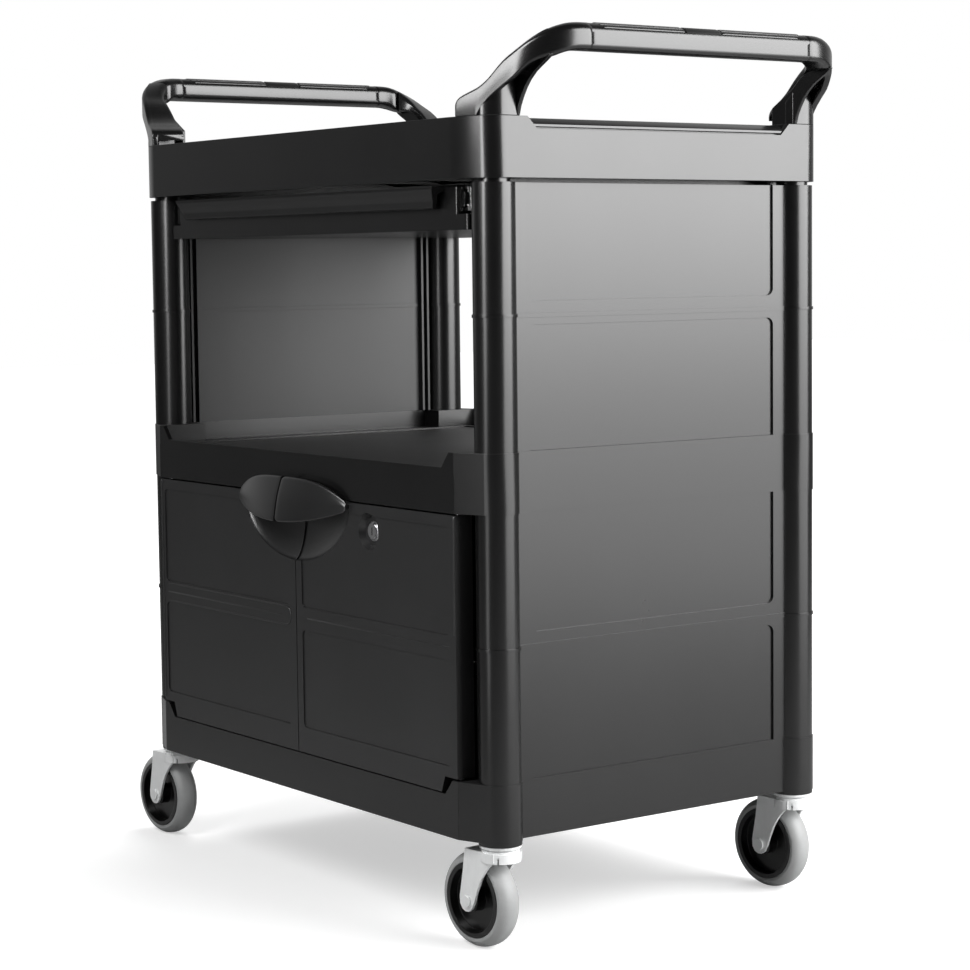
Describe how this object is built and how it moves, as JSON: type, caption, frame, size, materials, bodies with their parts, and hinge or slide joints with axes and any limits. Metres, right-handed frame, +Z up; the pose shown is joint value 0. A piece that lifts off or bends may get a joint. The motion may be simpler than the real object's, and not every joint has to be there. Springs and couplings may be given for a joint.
{
  "type": "housekeeping cart",
  "caption": "Black plastic housekeeping cart with stacked tray shelves, locking double doors over the lower cabinet, a slide-out drawer, push handles at both ends and swivel casters.",
  "frame": {"origin": "on the floor, under the centre of the bounding box", "axes": "+Z up, -Y towards the doors and drawer front, +X along the cart towards the end beside the locked door"},
  "size_m": [0.8424, 0.501, 0.9392],
  "materials": {
    "black_plastic": "satin moulded plastic with a fine grain",
    "door_plastic": "satin moulded plastic with a fine grain",
    "handle_plastic": "smooth satin plastic",
    "hub_plastic": "smooth moulded plastic",
    "grey_tyre": "smooth light grey non-marking rubber",
    "zinc_steel": "bright zinc plated pressed steel",
    "steel": "plain steel",
    "chrome": "bright chrome"
  },
  "bodies": {
    "frame": {"back_panel": "black_plastic", "bottom_tray": "black_plastic", "caster_stem_back_left": "zinc_steel", "caster_stem_back_right": "zinc_steel", "caster_stem_front_left": "zinc_steel", "caster_stem_front_right": "zinc_steel", "end_panel_lower_left": "black_plastic", "end_panel_lower_right": "black_plastic", "end_panel_upper_left": "black_plastic", "end_panel_upper_right": "black_plastic", "grip_left": "handle_plastic", "grip_right": "handle_plastic", "handle_arm_left_back": "handle_plastic", "handle_arm_left_front": "handle_plastic", "handle_arm_right_back": "handle_plastic", "handle_arm_right_front": "handle_plastic", "hinge_pins": "steel", "middle_tray": "black_plastic", "post_lower_back_left": "black_plastic", "post_lower_back_right": "black_plastic", "post_lower_front_left": "black_plastic", "post_lower_front_right": "black_plastic", "post_upper_back_left": "black_plastic", "post_upper_back_right": "black_plastic", "post_upper_front_left": "black_plastic", "post_upper_front_right": "black_plastic", "slide_outer_left": "chrome", "slide_outer_right": "chrome", "top_tray": "black_plastic"},
    "door_left": {"door_left": "door_plastic", "pull_left": "black_plastic"},
    "door_right": {"door_right": "door_plastic", "pull_right": "black_plastic", "lock_barrel": "steel"},
    "lock": {"lock_core": "chrome", "lock_cam": "steel"},
    "drawer": {"drawer_tray": "black_plastic", "drawer_lip": "black_plastic", "slide_inner_left": "chrome", "slide_inner_right": "chrome"},
    "swivel_front_left": {"caster_fork_front_left": "zinc_steel", "caster_axle_front_left": "zinc_steel"},
    "wheel_front_left": {"wheel_front_left": "hub_plastic", "tyre_front_left": "grey_tyre"},
    "swivel_front_right": {"caster_fork_front_right": "zinc_steel", "caster_axle_front_right": "zinc_steel"},
    "wheel_front_right": {"wheel_front_right": "hub_plastic", "tyre_front_right": "grey_tyre"},
    "swivel_back_left": {"caster_fork_back_left": "zinc_steel", "caster_axle_back_left": "zinc_steel"},
    "wheel_back_left": {"wheel_back_left": "hub_plastic", "tyre_back_left": "grey_tyre"},
    "swivel_back_right": {"caster_fork_back_right": "zinc_steel", "caster_axle_back_right": "zinc_steel"},
    "wheel_back_right": {"wheel_back_right": "hub_plastic", "tyre_back_right": "grey_tyre"}
  },
  "joints": [
    {"name": "door_left_hinge", "type": "hinge", "parent": "frame", "child": "door_left", "pos_m": [-0.297, -0.2115, 0.3], "axis": [0, 0, -1], "range_deg": [0, 115]},
    {"name": "door_right_hinge", "type": "hinge", "parent": "frame", "child": "door_right", "pos_m": [0.297, -0.2115, 0.3], "axis": [0, 0, 1], "range_deg": [0, 115]},
    {"name": "lock_turn", "type": "hinge", "parent": "door_right", "child": "lock", "pos_m": [0.146, -0.2065, 0.4195], "axis": [0, -1, 0], "range_deg": [0, 90]},
    {"name": "drawer_slide", "type": "slide", "parent": "frame", "child": "drawer", "axis": [0, -1, 0], "range_m": [0, 0.3]},
    {"name": "swivel_front_left", "type": "hinge", "parent": "frame", "child": "swivel_front_left", "pos_m": [-0.331, -0.18815, 0.105], "axis": [0, 0, 1], "continuous": true},
    {"name": "roll_front_left", "type": "hinge", "parent": "swivel_front_left", "child": "wheel_front_left", "pos_m": [-0.3619, -0.19058, 0.05], "axis": [-0.0785, 0.9969, 0], "continuous": true},
    {"name": "swivel_front_right", "type": "hinge", "parent": "frame", "child": "swivel_front_right", "pos_m": [0.331, -0.18815, 0.105], "axis": [0, 0, 1], "continuous": true},
    {"name": "roll_front_right", "type": "hinge", "parent": "swivel_front_right", "child": "wheel_front_right", "pos_m": [0.3001, -0.19058, 0.05], "axis": [-0.0785, 0.9969, 0], "continuous": true},
    {"name": "swivel_back_left", "type": "hinge", "parent": "frame", "child": "swivel_back_left", "pos_m": [-0.331, 0.21615, 0.105], "axis": [0, 0, 1], "continuous": true},
    {"name": "roll_back_left", "type": "hinge", "parent": "swivel_back_left", "child": "wheel_back_left", "pos_m": [-0.3619, 0.21372, 0.05], "axis": [-0.0785, 0.9969, 0], "continuous": true},
    {"name": "swivel_back_right", "type": "hinge", "parent": "frame", "child": "swivel_back_right", "pos_m": [0.331, 0.21615, 0.105], "axis": [0, 0, 1], "continuous": true},
    {"name": "roll_back_right", "type": "hinge", "parent": "swivel_back_right", "child": "wheel_back_right", "pos_m": [0.3001, 0.21372, 0.05], "axis": [-0.0785, 0.9969, 0], "continuous": true}
  ]
}
